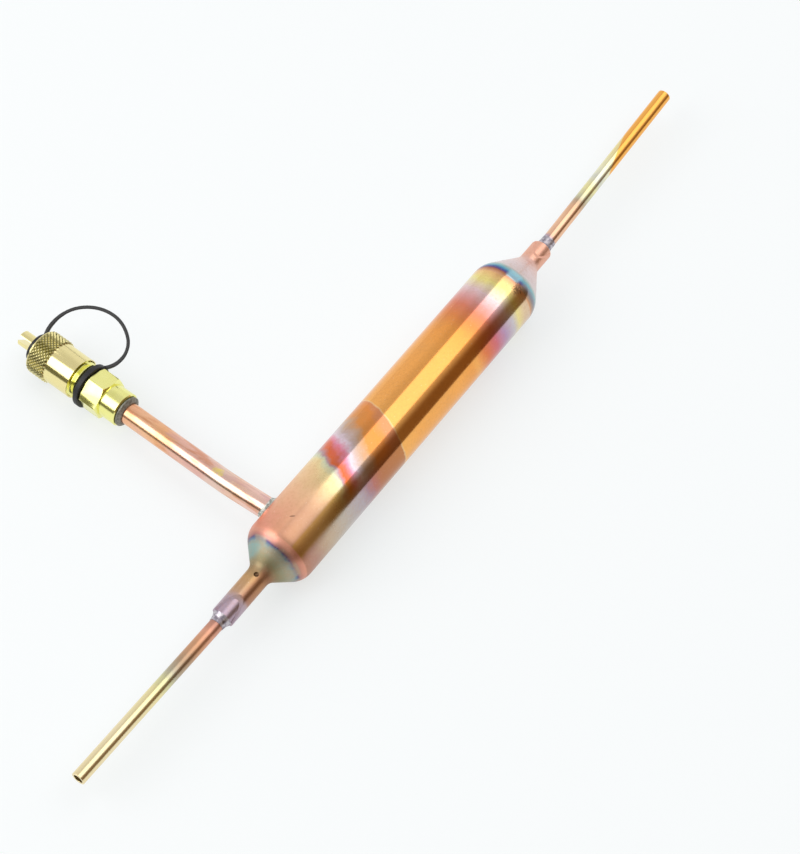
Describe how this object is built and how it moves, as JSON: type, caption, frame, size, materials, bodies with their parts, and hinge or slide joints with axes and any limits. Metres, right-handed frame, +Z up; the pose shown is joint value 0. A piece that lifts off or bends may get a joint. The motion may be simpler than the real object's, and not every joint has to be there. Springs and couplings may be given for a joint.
{
  "type": "filter drier",
  "caption": "Spun copper filter drier with a tube at each end and a branch tube carrying a capped access valve on a retaining strap.",
  "frame": {"origin": "on the shell's axis, midway along its drying length, where a clip holds the shell", "axes": "+X along the shell's axis in the direction of flow, inlet to outlet; +Y towards the access valve; +Z up, with the drier lying down"},
  "size_m": [0.2719, 0.1102, 0.02],
  "materials": {
    "shell_copper": "bright spun copper with heat tints",
    "inlet_copper": "drawn copper tube, heat tinted",
    "outlet_copper": "drawn copper tube, heat tinted",
    "branch_copper": "drawn copper tube",
    "braze": "oxidised brazing filler",
    "valve_solder": "dull grey filler",
    "valve_brass": "bright turned brass",
    "core_brass": "turned brass",
    "cap_brass": "turned and knurled brass",
    "gasket_plastic": "white fluoropolymer",
    "seal_rubber": "black rubber",
    "strap_rubber": "black moulded rubber",
    "spring_steel": "drawn wire",
    "screen_brass": "pressed sheet",
    "mesh_brass": "fine woven wire cloth",
    "sieve_beads": "packed porous beads"
  },
  "bodies": {
    "root": {"drier_shell": "shell_copper", "inlet_tube": "inlet_copper", "outlet_tube": "outlet_copper", "inlet_braze": "braze", "outlet_braze": "braze", "branch_tube": "branch_copper", "branch_braze": "braze", "valve_braze": "valve_solder", "valve_body": "valve_brass", "core_plug": "core_brass", "core_barrel": "core_brass", "core_gasket": "gasket_plastic", "core_spring": "spring_steel", "inlet_screen": "screen_brass", "outlet_ring": "screen_brass", "outlet_mesh": "mesh_brass", "desiccant": "sieve_beads"},
    "strap": {"cap_strap": "strap_rubber"},
    "cap": {"valve_cap": "cap_brass", "cap_gasket": "seal_rubber"},
    "core": {"core_pin": "core_brass", "core_seal": "seal_rubber", "core_cup": "core_brass"}
  },
  "joints": [
    {"name": "cap_lift", "type": "slide", "parent": "root", "child": "strap", "axis": [0.061, 0.9975, -0.0357], "range_m": [0, 0.00989], "deforming": ["cap_strap"]},
    {"name": "cap_turn", "type": "hinge", "parent": "strap", "child": "cap", "pos_m": [-0.03869, 0.07805, -0.00279], "axis": [0.061, 0.9975, -0.0357], "range_deg": [0, 2790]},
    {"name": "core_press", "type": "slide", "parent": "root", "child": "core", "axis": [-0.061, -0.9975, 0.0357], "range_m": [0, 0.0015], "stiffness_N_per_m": 400, "springref_m": -0.0012, "deforming": ["core_spring"]}
  ],
  "couplings": [
    {"joint": "cap_lift", "follows": "cap_turn", "m_per_rad": 0.00020213}
  ]
}
